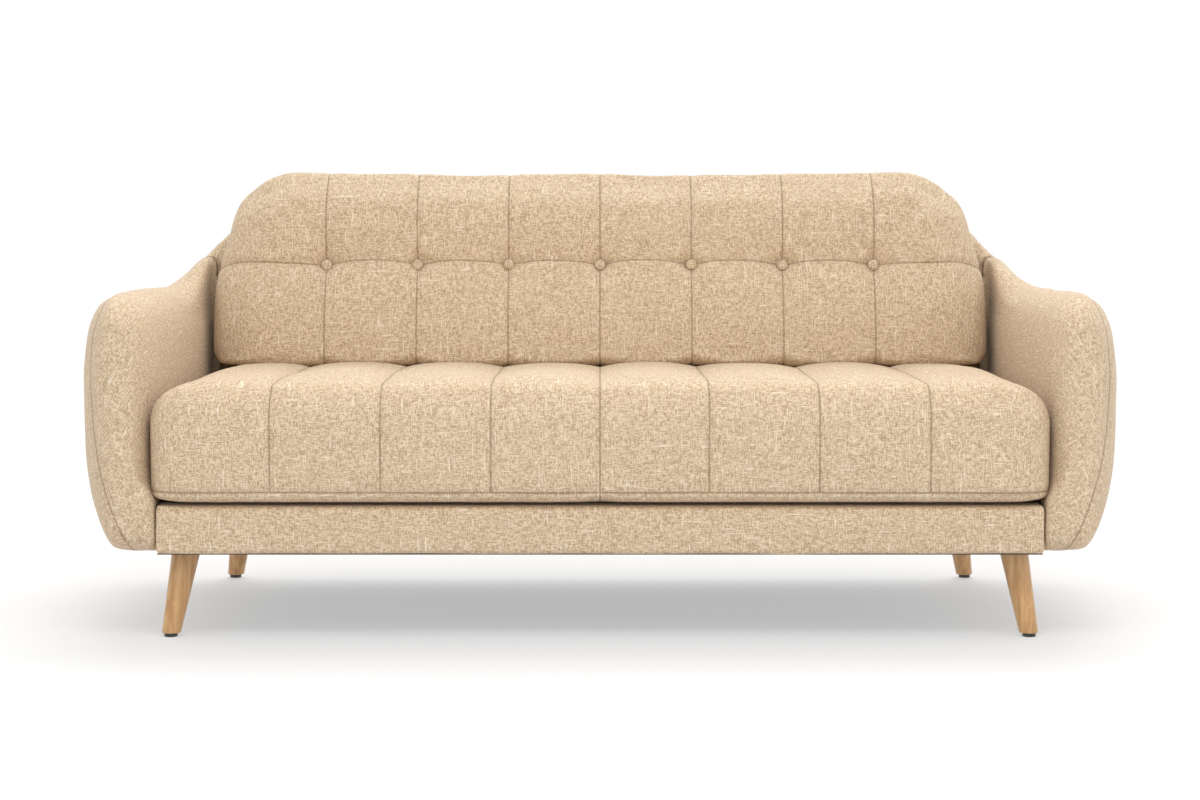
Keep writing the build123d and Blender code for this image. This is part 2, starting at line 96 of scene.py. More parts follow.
def waves(position, seed, wavelength, count=5):
    """A smooth random surface between about -1 and 1, the same each run."""
    rng = np.random.default_rng(seed)
    total = np.zeros(len(position))
    for _ in range(count):
        direction = rng.normal(size=3)
        direction /= np.linalg.norm(direction)
        length = wavelength * rng.uniform(0.7, 1.5)
        total += np.sin(position @ direction * 2 * pi / length + rng.uniform(0, 2 * pi))
    return total / count**0.5


def seam_distance(value, marks):
    """Distance to the nearest of several seams, its sign changing only at a seam."""
    value = np.asarray(value, float)
    marks = np.sort(np.asarray(marks, float))
    nearest = np.abs(value[:, None] - marks[None, :]).min(1)
    return np.where(np.searchsorted(marks, value) % 2 == 0, nearest, -nearest)


def pillow(value, marks, low, high, power=0.7):
    """0 at each seam and at both ends, and 1 half way between."""
    edges = np.concatenate([[low], np.sort(marks), [high]])
    index = np.clip(np.searchsorted(edges, value) - 1, 0, len(edges) - 2)
    share = np.clip((value - edges[index]) / (edges[index + 1] - edges[index]), 0, 1)
    return np.sin(pi * share) ** power


# ---------------------------------------------------------------- meshes
def new_object(name, vertices, faces):
    mesh = bpy.data.meshes.new(name)
    mesh.from_pydata([tuple(v) for v in vertices], [], faces)
    mesh.validate()
    obj = bpy.data.objects.new(name, mesh)
    scene.collection.objects.link(obj)
    return obj


def get_points(obj):
    points = np.zeros(len(obj.data.vertices) * 3)
    obj.data.vertices.foreach_get("co", points)
    return points.reshape(-1, 3)


def set_points(obj, points):
    obj.data.vertices.foreach_set("co", np.asarray(points, float).ravel())
    obj.data.update()


def get_normals(obj):
    normals = np.zeros(len(obj.data.vertices) * 3)
    obj.data.vertex_normals.foreach_get("vector", normals)
    return normals.reshape(-1, 3)


def set_number(obj, name, values):
    attribute = obj.data.attributes.get(name) or obj.data.attributes.new(name, "FLOAT", "POINT")
    attribute.data.foreach_set("value", np.asarray(values, np.float32))


def outward(obj):
    """Turns every face to point out of the closed form."""
    form = bmesh.new()
    form.from_mesh(obj.data)
    bmesh.ops.recalc_face_normals(form, faces=form.faces)
    form.to_mesh(obj.data)
    form.free()


def apply_modifiers(obj):
    depsgraph = bpy.context.evaluated_depsgraph_get()
    done = bpy.data.meshes.new_from_object(obj.evaluated_get(depsgraph), depsgraph=depsgraph)
    obj.modifiers.clear()
    obj.data = done


def subdivide(obj, levels=1):
    modifier = obj.modifiers.new("finer", "SUBSURF")
    modifier.levels = modifier.render_levels = levels
    apply_modifiers(obj)


def soften(obj, turns, factor=0.5):
    modifier = obj.modifiers.new("soften", "SMOOTH")
    modifier.iterations = turns
    modifier.factor = factor
    apply_modifiers(obj)


def remesh(obj, voxel):
    modifier = obj.modifiers.new("remesh", "REMESH")
    modifier.mode = "VOXEL"
    modifier.voxel_size = voxel
    apply_modifiers(obj)


def stops(low, high, round_low, round_high, marks, pitch, steps=6):
    """Lattice lines along one axis: close together in the rounded ends, on every mark and each side of it."""
    arc = [tan(radians(45) * k / steps) for k in range(1, steps + 1)]
    ends = [low + round_low - round_low * t for t in arc] + [high - round_high + round_high * t for t in arc]
    fixed = [low + round_low, high - round_high]
    for mark in marks:
        fixed += [mark + d for d in (-0.013, -0.005, 0.0, 0.005, 0.013)]
    fixed = sorted(f for f in fixed if low + round_low - 1e-6 <= f <= high - round_high + 1e-6)
    lines = list(fixed)
    for a, b in zip(fixed, fixed[1:]):
        count = max(1, round((b - a) / pitch))
        lines += [a + (b - a) * k / count for k in range(1, count)]
    return np.array(sorted(set(round(v, 6) for v in lines + ends)))


def lattice(name, low, high, round_low, round_high, marks, pitch):
    """A closed box of quads with rounded edges, with the flat box's points and the outward directions."""
    low, high = np.array(low, float), np.array(high, float)
    round_low, round_high = np.array(round_low, float), np.array(round_high, float)
    lines = [stops(low[i], high[i], round_low[i], round_high[i], marks[i], pitch) for i in range(3)]
    count = [len(line) for line in lines]
    index, points, faces = {}, [], []

    def vertex(i, j, k):
        key = (i, j, k)
        if key not in index:
            index[key] = len(points)
            points.append((lines[0][i], lines[1][j], lines[2][k]))
        return index[key]

    for axis in range(3):
        a, b = [n for n in range(3) if n != axis]
        for level in (0, count[axis] - 1):
            for p in range(count[a] - 1):
                for q in range(count[b] - 1):
                    corner = []
                    for dp, dq in ((0, 0), (1, 0), (1, 1), (0, 1)):
                        place = [0, 0, 0]
                        place[axis], place[a], place[b] = level, p + dp, q + dq
                        corner.append(vertex(*place))
                    faces.append(corner)
    flat = np.array(points)
    inner = np.clip(flat, low + round_low, high - round_high)
    reach = flat - inner
    radius = np.where(reach < 0, round_low, round_high)
    way = reach / radius
    way /= np.maximum(np.linalg.norm(way, axis=1, keepdims=True), 1e-9)
    obj = new_object(name, inner + way * radius, faces)
    outward(obj)
    return obj, flat, way


def inflate(obj, hold, cap, pressure=4.0, frames=20):
    """Blows the closed form up as cloth. hold is 1 where a seam or a neighbour keeps the fabric still."""
    start = get_points(obj)
    group = obj.vertex_groups.new(name="hold")
    for level in np.unique(np.round(hold, 2)):
        if level > 0:
            group.add(np.nonzero(np.round(hold, 2) == level)[0].tolist(), float(level), "REPLACE")
    cloth = obj.modifiers.new("cloth", "CLOTH")
    settings = cloth.settings
    settings.quality = 5
    settings.mass = 0.4
    settings.tension_stiffness = 12
    settings.compression_stiffness = 12
    settings.shear_stiffness = 6
    settings.bending_stiffness = 1.0
    settings.use_pressure = True
    settings.uniform_pressure_force = pressure
    settings.effector_weights.gravity = 0
    settings.vertex_group_mass = "hold"
    cloth.collision_settings.use_collision = False
    cloth.point_cache.frame_start = 1
    cloth.point_cache.frame_end = frames
    for number in range(1, frames + 1):
        scene.frame_set(number)
    depsgraph = bpy.context.evaluated_depsgraph_get()
    swollen = obj.evaluated_get(depsgraph).to_mesh()
    end = np.zeros(len(swollen.vertices) * 3)
    swollen.vertices.foreach_get("co", end)
    obj.evaluated_get(depsgraph).to_mesh_clear()
    obj.modifiers.remove(cloth)
    obj.vertex_groups.clear()
    scene.frame_set(1)
    move = end.reshape(-1, 3) - start
    size = np.linalg.norm(move, axis=1, keepdims=True)
    set_points(obj, start + move * (cap * np.tanh(size / cap)) / np.maximum(size, 1e-9))


# ---------------------------------------------------------------- material building
class Shader:
    """Short names for building one node material."""

    def __init__(self, name):
        self.material = bpy.data.materials.new(name)
        self.material.use_nodes = True
        self.tree = self.material.node_tree
        self.surface = self.tree.nodes["Principled BSDF"]
        self.where = self.node("ShaderNodeTexCoord")

    def node(self, kind, **settings):
        made = self.tree.nodes.new(kind)
        for key, value in settings.items():
            setattr(made, key, value)
        return made

    def put(self, socket, value):
        if isinstance(value, bpy.types.NodeSocket):
            self.tree.links.new(value, socket)
        else:
            socket.default_value = value

    def math(self, operation, a, b=0.0, c=None, clamp=False):
        made = self.node("ShaderNodeMath", operation=operation, use_clamp=clamp)
        self.put(made.inputs[0], a)
        self.put(made.inputs[1], b)
        if c is not None:
            self.put(made.inputs[2], c)
        return made.outputs[0]

    def ramp(self, value, low, high, out_low=0.0, out_high=1.0):
        made = self.node("ShaderNodeMapRange", interpolation_type="SMOOTHSTEP")
        for socket, number in zip(made.inputs, (value, low, high, out_low, out_high)):
            self.put(socket, number)
        return made.outputs[0]

    def mix(self, share, a, b):
        made = self.node("ShaderNodeMix", data_type="FLOAT")
        self.put(made.inputs[0], share)
        self.put(made.inputs[2], a)
        self.put(made.inputs[3], b)
        return made.outputs[0]

    def colour(self, share, a, b, blend="MIX"):
        made = self.node("ShaderNodeMix", data_type="RGBA", blend_type=blend)
        self.put(made.inputs[0], share)
        for socket, value in ((made.inputs[6], a), (made.inputs[7], b)):
            self.put(socket, value if isinstance(value, bpy.types.NodeSocket) else (*value, 1))
        return made.outputs[2]

    def turned(self, vector, angle):
        made = self.node("ShaderNodeVectorRotate", rotation_type="Y_AXIS")
        self.put(made.inputs["Vector"], vector)
        made.inputs["Angle"].default_value = angle
        return made.outputs[0]

    def noise(self, vector, scale, detail=2.0, rough=0.5, offset=(0, 0, 0)):
        """Noise whose features are 1/scale metres along each axis."""
        mapping = self.node("ShaderNodeMapping")
        mapping.inputs["Scale"].default_value = scale
        mapping.inputs["Location"].default_value = offset
        self.put(mapping.inputs["Vector"], vector)
        made = self.node("ShaderNodeTexNoise")
        made.inputs["Scale"].default_value = 1.0
        made.inputs["Detail"].default_value = detail
        made.inputs["Roughness"].default_value = rough
        self.put(made.inputs["Vector"], mapping.outputs[0])
        return made.outputs[0]

    def number(self, name):
        return self.node("ShaderNodeAttribute", attribute_name=name).outputs["Fac"]

    def bump(self, height, distance, strength, under=None):
        made = self.node("ShaderNodeBump")
        made.inputs["Distance"].default_value = distance
        made.inputs["Strength"].default_value = strength
        self.put(made.inputs["Height"], height)
        if under is not None:
            self.put(made.inputs["Normal"], under)
        return made.outputs[0]

    def finish(self, colour, roughness, normal=None, **uniform):
        self.put(self.surface.inputs["Base Color"], colour)
        self.put(self.surface.inputs["Roughness"], roughness)
        if normal is not None:
            self.put(self.surface.inputs["Normal"], normal)
        for key, value in uniform.items():
            self.surface.inputs[key.replace("_", " ")].default_value = value
        return self.material


FABRIC_DARK = (0.380, 0.270, 0.165)
FABRIC_LIGHT = (0.745, 0.590, 0.415)
SLUB = (0.880, 0.770, 0.620)


def fabric(name, turn=0.0):
    """A heathered linen weave: fine crossed threads, thick light slubs, dark lines at the seams, and painted
    shade in a band along each seam.
    """
    s = Shader(name)
    place, normal = s.where.outputs["Object"], s.where.outputs["Normal"]
    if turn:
        place, normal = s.turned(place, turn), s.turned(normal, turn)
    split = s.node("ShaderNodeSeparateXYZ")
    s.put(split.inputs[0], normal)
    sideways = s.ramp(s.math("MULTIPLY", split.outputs[0], split.outputs[0]), 0.40, 0.62)

    def threads(fine, slow, detail, offset, across):
        """Threads of one direction, laid along the surface whichever way it faces."""
        if across:
            facing = s.noise(place, (slow, fine, fine), detail, 0.55, offset)
            aside = s.noise(place, (fine, slow, fine), detail, 0.55, offset)
        else:
            facing = s.noise(place, (fine, slow, slow), detail, 0.55, offset)
            aside = s.noise(place, (fine, fine, slow), detail, 0.55, offset)
        return s.mix(sideways, facing, aside)

    weft = threads(560, 120, 1.0, (0, 0, 0), True)
    warp = threads(560, 120, 1.0, (7.3, 1.9, 4.4), False)
    weave = s.math("MULTIPLY", s.math("ADD", weft, warp), 0.5)
    mottle = s.noise(place, (620, 620, 620), 1.0, 0.6)
    cloudy = s.noise(place, (9, 9, 9), 2.0, 0.5)
    tone = s.math("ADD", s.math("MULTIPLY", weave, 0.78), s.math("MULTIPLY", mottle, 0.22))
    shade = s.colour(s.ramp(tone, 0.37, 0.63), FABRIC_DARK, FABRIC_LIGHT)
    weft_slub = s.ramp(threads(340, 24, 1.0, (3.1, 8.2, 5.7), True), 0.660, 0.71)
    warp_slub = s.ramp(threads(340, 24, 1.0, (9.4, 2.6, 6.5), False), 0.665, 0.715)
    slub = s.math("MAXIMUM", weft_slub, warp_slub)
    shade = s.colour(s.math("MULTIPLY", slub, 0.54), shade, SLUB)
    shade = s.colour(s.ramp(cloudy, 0.30, 0.70, 0.0, 0.10), shade, (0.60, 0.465, 0.32))
    seams = [s.math("ABSOLUTE", s.number(name)) for name in ("seam_a", "seam_b")]
    nearest = s.math("MINIMUM", *seams)
    stitch = s.ramp(nearest, 0.0004, 0.0021, 1.0, 0.0)
    # Painted shade: the fabric darkens in a band about 12 mm each side of every seam, where shade falls in
    # the seam's dip
    seam_valley_shade = s.ramp(nearest, 0.0, 0.012, 1.0, 0.0)
    shade = s.colour(s.math("MULTIPLY", seam_valley_shade, 0.08), shade, (0.36, 0.24, 0.14))
    shade = s.colour(s.math("MULTIPLY", stitch, 0.55), shade, (0.20, 0.125, 0.07))
    height = s.math("ADD", weave, s.math("MULTIPLY", slub, 0.35))
    relief = s.bump(height, 0.0009, 0.55)
    relief = s.bump(s.math("SUBTRACT", 1.0, stitch), 0.0015, 0.6, relief)
    roughness = s.ramp(weave, 0.3, 0.7, 0.96, 0.84)
    return s.finish(shade, roughness, relief, Sheen_Weight=0.12, Sheen_Roughness=0.5, Specular_IOR_Level=0.18)


def oak_material():
    """Light oak with lengthwise grain, pores and a satin lacquer."""
    s = Shader("oak")
    place = s.where.outputs["Object"]
    rings = s.noise(place, (120, 120, 7), 3.0, 0.6)
    pores = s.noise(place, (900, 900, 28), 2.0, 0.6)
    broad = s.noise(place, (22, 22, 3), 2.0, 0.5)
    shade = s.colour(s.ramp(rings, 0.32, 0.68), (0.395, 0.200, 0.068), (0.610, 0.355, 0.152))
    shade = s.colour(s.ramp(pores, 0.56, 0.70, 0.0, 0.45), shade, (0.33, 0.165, 0.06))
    shade = s.colour(s.ramp(broad, 0.35, 0.65, 0.0, 0.30), shade, (0.645, 0.390, 0.175))
    relief = s.bump(pores, 0.0002, 0.35)
    return s.finish(shade, s.ramp(rings, 0.3, 0.7, 0.42, 0.34), relief, Coat_Weight=0.25, Coat_Roughness=0.25)


def plain_material(name, dark, light, scale, roughness, depth=0.0002, **uniform):
    """A surface with colour, gloss and relief varied by one noise stretched along its grain."""
    s = Shader(name)
    grain = s.noise(s.where.outputs["Object"], scale, 3.0, 0.6)
    shade = s.colour(s.ramp(grain, 0.3, 0.7), dark, light)
    relief = s.bump(grain, depth, 0.4)
    return s.finish(shade, s.ramp(grain, 0.3, 0.7, roughness + 0.06, roughness - 0.06), relief, **uniform)


def woven_material(name, dark, light, pitch, roughness=0.9):
    """A plain weave of crossed tapes or yarns of one pitch."""
    s = Shader(name)
    place = s.where.outputs["Object"]
    split = s.node("ShaderNodeSeparateXYZ")
    s.put(split.inputs[0], place)
    ribs = [s.math("SINE", s.math("MULTIPLY", split.outputs[i], 2 * pi / pitch)) for i in range(3)]
    weave = s.math("MULTIPLY", ribs[0], s.math("ADD", ribs[1], ribs[2]))
    level = s.ramp(weave, -1.2, 1.2)
    fuzz = s.noise(place, (260, 260, 260), 2.0, 0.5)
    share = s.math("ADD", s.math("MULTIPLY", level, 0.6), s.math("MULTIPLY", fuzz, 0.4))
    shade = s.colour(share, dark, light)
    return s.finish(shade, s.ramp(fuzz, 0.3, 0.7, roughness, roughness - 0.1), s.bump(level, 0.0006, 0.5))


FABRIC = fabric("upholstery")
ARM_FABRIC = {-1: fabric("arm_upholstery_left", radians(-24)), 1: fabric("arm_upholstery_right", radians(24))}
FINISHES = {
    "oak": oak_material(),
    "glide_plastic": plain_material("glide_plastic", (0.012, 0.012, 0.013), (0.022, 0.022, 0.024),
                                    (300, 300, 300), 0.22, 0.00005, Coat_Weight=0.4),
    "pine": plain_material("pine", (0.56, 0.36, 0.17), (0.76, 0.56, 0.32), (6, 90, 90), 0.6),
    "plywood": plain_material("plywood", (0.50, 0.34, 0.18), (0.70, 0.52, 0.31), (90, 14, 160), 0.62),
    "steel": plain_material("steel", (0.42, 0.42, 0.43), (0.62, 0.62, 0.63), (200, 200, 200), 0.34,
                            0.00005, Metallic=1.0),
    "webbing": woven_material("webbing", (0.05, 0.045, 0.04), (0.16, 0.14, 0.12), 0.006),
    "lining": woven_material("lining", (0.045, 0.042, 0.04), (0.11, 0.105, 0.10), 0.0018),
    "zip": woven_material("zip", (0.36, 0.27, 0.17), (0.58, 0.46, 0.31), 0.0016, 0.6),
    "washer_plastic": plain_material("washer_plastic", (0.60, 0.60, 0.58), (0.74, 0.74, 0.72),
                                     (250, 250, 250), 0.4, 0.00005),
    "twine": woven_material("twine", (0.50, 0.40, 0.26), (0.74, 0.62, 0.44), 0.0011),
    "foam": plain_material("foam", (0.72, 0.66, 0.46), (0.84, 0.79, 0.60), (420, 420, 420), 0.9, 0.0008),
    "upholstery": FABRIC,
}
DECK_CLOTH = woven_material("deck_cloth", (0.25, 0.185, 0.12), (0.42, 0.33, 0.225), 0.0022)


def slot_of(node_name):
    for material in nodes[node_name].data.materials:
        if material:
            base = material.name.split(".")[0]
            for name in sorted(FINISHES, key=len, reverse=True):
                if name in base:
                    return name
    return "pine"


def piece(obj, body, material, replaced=()):
    """Settles a finished piece: its material, its body, and the CAD nodes it stands for, which it hides."""
    obj.data.materials.clear()
    obj.data.materials.append(material)
    obj.data.shade_smooth()
    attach(obj, body)
    if replaced:
        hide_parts(*replaced)
    return obj


# ---------------------------------------------------------------- seat cushion
def seat_cushion():
    half = (seat_high.x - seat_low.x) / 2 - 0.002
    band = 0.263
    low = (-half, seat_low.y + 0.010, seat_low.z + 0.0005)
    high = (half, seat_high.y - 0.001, seat_high.z - 0.004)
    obj, flat, way = lattice("seat_cushion", low, high, (0.060, 0.055, 0.019), (0.060, 0.035, 0.066),
                             (SEAT_SEAMS, [], [band]), 0.014)
    points = get_points(obj)
    x, y, z = flat.T
    front = smooth(0.2, 0.9, -way[:, 1]) * (z > band - 1e-4)
    top = smooth(0.15, 0.8, way[:, 2])
    channelled = np.maximum(front, top)
    swell = pillow(x, SEAT_SEAMS, -half, half, 0.6)
    across = 1 - (np.abs(x) / half) ** 6
    deep = np.clip(1 - ((y - (low[1] + high[1]) / 2) / ((high[1] - low[1]) / 2)) ** 4, 0, 1)
    move = top * (0.009 * deep * across + 0.0062 * swell * deep**0.5) + front * 0.0040 * swell
    ease = bell(z - band, 0.006) * (way[:, 1] < -0.3)
    near = np.abs(seam_distance(x, SEAT_SEAMS))
    move -= channelled * 0.0018 * bell(near, 0.005)
    move -= ease * 0.0035
    points += way * move[:, None]
    # The front swells sideways past the arms' rounded fronts, and its underside lifts at the middle seam
    points[:, 0] += np.sign(points[:, 0]) * 0.007 * smooth(0.74, 0.79, np.abs(x)) * smooth(0.20, 0.36, -y)
    points[:, 2] += 0.005 * bell(x, 0.022) * smooth(0.02, 0.0, z - low[2]) * smooth(0.36, 0.42, -y)
    set_points(obj, points)
    held = np.maximum.reduce([
        channelled * (near < 0.001),
        (np.abs(z - band) < 0.001) * (way[:, 1] < -0.3) * 1.0,
        smooth(0.3, 0.8, -way[:, 2]),
        smooth(0.3, 0.8, way[:, 1]),
        0.9 * smooth(0.5, 0.95, np.abs(way[:, 0])),
    ])
    inflate(obj, np.clip(held, 0, 1), 0.0045)
    points = get_points(obj)
    pucker = channelled * bell(near, 0.030) * waves(points, 11, 0.045) * 0.0007
    band_pucker = bell(z - band, 0.02) * (way[:, 1] < -0.3) * waves(points, 12, 0.05) * 0.0008
    loose = (top + front) * waves(points, 13, 0.26) * 0.0016
    set_points(obj, points + way * (pucker + band_pucker + loose)[:, None])
    above_band = z > band - 1e-4
    front_middle = (np.abs(x) < 0.02) & (way[:, 1] < -0.3)
    sewn = (channelled * above_band > 0.02) | front_middle
    set_number(obj, "seam_a", np.where(sewn, seam_distance(x, SEAT_SEAMS), NO_SEAM))
    set_number(obj, "seam_b", np.where(way[:, 2] > -0.9, z - band, NO_SEAM))
    subdivide(obj)
    return piece(obj, "seat_cushion", FABRIC, ("seat_cushion_cover", "seat_cushion_core"))


# ---------------------------------------------------------------- back cushion
def lean(points):
    """From the leaning frame of the inside back (across, forward, up) to the row frame."""
    across, forward, up = points.T
    axes = np.array([[1, 0, 0], BACK_FORWARD, BACK_UP])
    return np.array(BACK_ORIGIN) + np.stack([across, forward, up], 1) @ axes


def back_cushion():
    half, top, thick = 0.778, 0.367, 0.141
    corner_run, corner_rise = 0.170, 0.030
    marks = BUTTONS
    low, high = (-half, 0.002, 0.0), (half, thick, top)
    obj, flat, way = lattice("back_cushion", low, high, (corner_run, 0.050, corner_rise),
                             (corner_run, 0.066, 0.108), (marks, [], [BUTTON_UP]), 0.013)
    points = get_points(obj)
    x, w, v = flat.T
    front = smooth(0.15, 0.85, way[:, 1])
    crest = smooth(0.2, 0.8, way[:, 2])
    side = smooth(0.3, 0.9, np.abs(way[:, 0]))
    puffed = np.maximum(front, crest * (w > thick * 0.3))
    columns = pillow(x, marks, -half, half, 0.7)
    rows = pillow(v, [BUTTON_UP], -0.03, top + 0.06, 0.6)
    near_x = np.abs(seam_distance(x, marks))
    near_v = np.abs(v - BUTTON_UP)
    from_button = np.sqrt(near_x**2 + near_v**2)
    outer_share = np.clip((np.abs(x) - OUTER_BUTTON) / 0.2, 0, 1)
    move = puffed * (0.013 * rows + 0.0058 * columns * (0.45 + 0.55 * rows))
    move -= front * (0.011 * bell(from_button, 0.030) + 0.006 * bell(from_button, 0.065)) * (1 - outer_share)
    move -= puffed * 0.0018 * bell(near_x, 0.0055)
    move -= (front + side).clip(0, 1) * 0.0032 * bell(near_v, 0.0065)
    move -= side * 0.006 * bell(near_v, 0.040)
    points += way * move[:, None]
    # The cross seam bows up between the buttons, and the sides draw in toward the top
    between_buttons = np.abs(np.sin(pi * np.clip(x, -OUTER_BUTTON, OUTER_BUTTON) / BUTTON_PITCH))
    bow = 0.0085 * between_buttons**0.8 + 0.008 * outer_share
    points[:, 2] += front * bow * bell(v - BUTTON_UP, 0.05)
    edge = np.sign(x) * smooth(0.56, 0.76, np.abs(x))
    draw_in = 0.031 * smooth(BUTTON_UP - 0.02, BUTTON_UP + 0.09, v) + 0.003 * smooth(0.05, 0.0, v)
    points[:, 0] -= edge * draw_in
    # The lower corners are much squarer than the upper ones
    sideways = np.clip((np.abs(points[:, 0]) - (half - corner_run)) / corner_run, 0, 1)
    downward = np.clip((corner_rise - points[:, 2]) / corner_rise, 0, 1)
    longest = np.maximum(sideways, downward)
    cornered = (downward > 0) * (sideways > 0)
    square = 0.75 * (np.hypot(sideways, downward) / np.maximum(longest, 1e-6) - 1) * cornered
    points[:, 0] += np.sign(x) * corner_run * sideways * square
    points[:, 2] -= corner_rise * downward * square
    # The underside is level, along the top of the seat
    underside = (0.0015 - points[:, 1] * BACK_FORWARD.z) / BACK_UP.z
    points[:, 2] += underside * (1 - smooth(0.0, 0.16, points[:, 2]))
    set_points(obj, lean(points))
    held = np.maximum.reduce([
        puffed * (near_x < 0.001),
        (near_v < 0.001) * (front + side > 0.2),
        smooth(0.3, 0.8, -way[:, 1]),
        smooth(0.3, 0.8, -way[:, 2]),
        0.9 * smooth(0.6, 0.95, np.abs(way[:, 0])),
        front * (from_button < 0.016),
    ])
    inflate(obj, np.clip(held, 0, 1), 0.006)
    points = get_points(obj)
    normals = get_normals(obj)
    creases = waves(flat[:, [0, 2, 1]], 21, 0.030)
    gather = front * bell(from_button, 0.06) * (1 - outer_share) * creases * 0.0011
    gather += puffed * (bell(near_x, 0.025) + bell(near_v, 0.03)) * waves(points, 22, 0.05) * 0.0008
    gather += (front + crest) * waves(points, 23, 0.22) * 0.0018
    set_points(obj, points + normals * gather[:, None])
    set_number(obj, "seam_a", np.where(puffed > 0.02, seam_distance(x, marks), NO_SEAM))
    set_number(obj, "seam_b", np.where(front + side > 0.02, v - BUTTON_UP, NO_SEAM))
    subdivide(obj)
    return piece(obj, "back_cushion", FABRIC, ("back_cushion_cover", "back_cushion_core"))


def cushion_buttons(cushion):
    """Seven covered buttons, each a domed disc that the cushion's dimple holds."""
    surface = get_points(cushion)
    rings, segments = 9, 28
    vertices, faces = [], []
    for place in BUTTONS:
        target = lean(np.array([[place, 0.14, BUTTON_UP]]))[0]
        offset = surface - target
        facing = offset @ np.array(BACK_FORWARD)
        flat_distance = np.linalg.norm(offset - np.outer(facing, BACK_FORWARD), axis=1)
        close = (flat_distance < 0.014) & (facing > -0.06)
        depth = np.percentile(facing[close], 80)
        centre = target + np.array(BACK_FORWARD) * (depth + 0.0012)
        base = len(vertices)
        outline = []
        for k in range(rings):
            angle = pi * 0.5 * k / (rings - 1)
            outline.append((0.0112 * cos(angle) ** 0.75 if k < rings - 1 else 0.0, 0.0062 * sin(angle)))
        outline = [(0.0090, -0.0050), (0.0108, -0.0030)] + outline
        for radius, height in outline[:-1]:
            for m in range(segments):
                turn = 2 * pi * m / segments
                spot = centre + np.array([1, 0, 0]) * radius * cos(turn)
                spot += np.array(BACK_UP) * radius * sin(turn) + np.array(BACK_FORWARD) * height
                vertices.append(spot)
        crown = len(vertices)
        vertices.append(centre + np.array(BACK_FORWARD) * outline[-1][1])
        foot = len(vertices)
        vertices.append(centre - np.array(BACK_FORWARD) * 0.0050)
        for k in range(len(outline) - 2):
            for m in range(segments):
                a, b = base + k * segments + m, base + k * segments + (m + 1) % segments
                faces.append([a, b, b + segments, a + segments])
        last = base + (len(outline) - 2) * segments
        for m in range(segments):
            faces.append([last + m, last + (m + 1) % segments, crown])
            faces.append([base + (m + 1) % segments, base + m, foot])
    obj = new_object("back_buttons", vertices, faces)
    outward(obj)
    # Painted shade: the lowest four rings of each button, its underside and edge, get seam distance 0, so the
    # fabric darkens where the button sinks into its dimple
    per_button = len(vertices) // len(BUTTONS)
    rim = np.array([k % per_button < 4 * segments for k in range(len(vertices))])
    set_number(obj, "seam_a", np.where(rim, 0.0, 0.004))
    set_number(obj, "seam_b", np.full(len(vertices), NO_SEAM))
    return piece(obj, "back_cushion", FABRIC, ("back_cushion_buttons",))


# ---------------------------------------------------------------- arms and back
OUTER_SIDE = [
    (0.8500, 0.1530), (0.8780, 0.1610), (0.9050, 0.1860), (0.9280, 0.2250), (0.9410, 0.2660),
    (0.9490, 0.3250), (0.9500, 0.4200), (0.9480, 0.4800), (0.9350, 0.5450), (0.9140, 0.5820),
]
ARM_SECTION = [
    (0.8000, 0.1530), *OUTER_SIDE, (0.8900, 0.6000), (0.8610, 0.6110), (0.8320, 0.6060),
    (0.8080, 0.5850), (0.7950, 0.5500), (0.7920, 0.5000), (0.7920, 0.4000), (0.7920, 0.3000),
    (0.7885, 0.2620), (0.7810, 0.2460), (ARM_BESIDE_RAIL, 0.2000), (ARM_BESIDE_RAIL, 0.1530),
]
BACK_OUTLINE = [
    (0.7000, 0.1530), *OUTER_SIDE, (0.8900, 0.6030), (0.8680, 0.6180), (0.8490, 0.6340),
    (0.8330, 0.6500), (0.8210, 0.6640), (0.8080, 0.6790), (0.7920, 0.6960), (0.7760, 0.7120),
    (0.7610, 0.7260), (0.7350, 0.7480), (0.7000, 0.7720), (0.6500, 0.7900), (0.5800, BACK_TOP),
]


def smooth_line(corners, pitch, closed):
    """A rounded line through corners, with even steps."""
    corners = np.array(corners, float)
    count = len(corners)
    dense = []
    for i in range(count if closed else count - 1):
        if closed:
            a, b, c, d = (corners[(i + k) % count] for k in (-1, 0, 1, 2))
        else:
            a, b = corners[max(i - 1, 0)], corners[i]
            c, d = corners[i + 1], corners[min(i + 2, count - 1)]
        for t in np.linspace(0, 1, 9)[:-1]:
            dense.append(0.5 * (2 * b + (c - a) * t + (2 * a - 5 * b + 4 * c - d) * t**2
                                + (3 * b - a - 3 * c + d) * t**3))
    dense.append(corners[0] if closed else corners[-1])
    dense = np.array(dense)
    run = np.concatenate([[0], np.cumsum(np.linalg.norm(np.diff(dense, axis=0), axis=1))])
    even = np.linspace(0, run[-1], max(8, round(run[-1] / pitch)) + 1)
    line = np.stack([np.interp(even, run, dense[:, i]) for i in range(2)], 1)
    return line[:-1] if closed else line


def tube(name, rings):
    """A closed form through rings of equal count, capped at both ends."""
    count = len(rings[0])
    vertices = [tuple(p) for ring in rings for p in ring]
    faces = []
    for r in range(len(rings) - 1):
        for k in range(count):
            a, b = r * count + k, r * count + (k + 1) % count
            faces.append([a, b, b + count, a + count])
    for r in (0, len(rings) - 1):
        vertices.append(tuple(np.mean(rings[r], axis=0)))
        for k in range(count):
            faces.append([r * count + k, r * count + (k + 1) % count, len(vertices) - 1])
    obj = new_object(name, vertices, faces)
    outward(obj)
    return obj


def quarter(distance, run, depth):
    """How far a rounded front edge has drawn in at a distance behind the front."""
    t = np.clip(1 - distance / run, 0, 1)
    return depth * (1 - np.sqrt(1 - t * t))


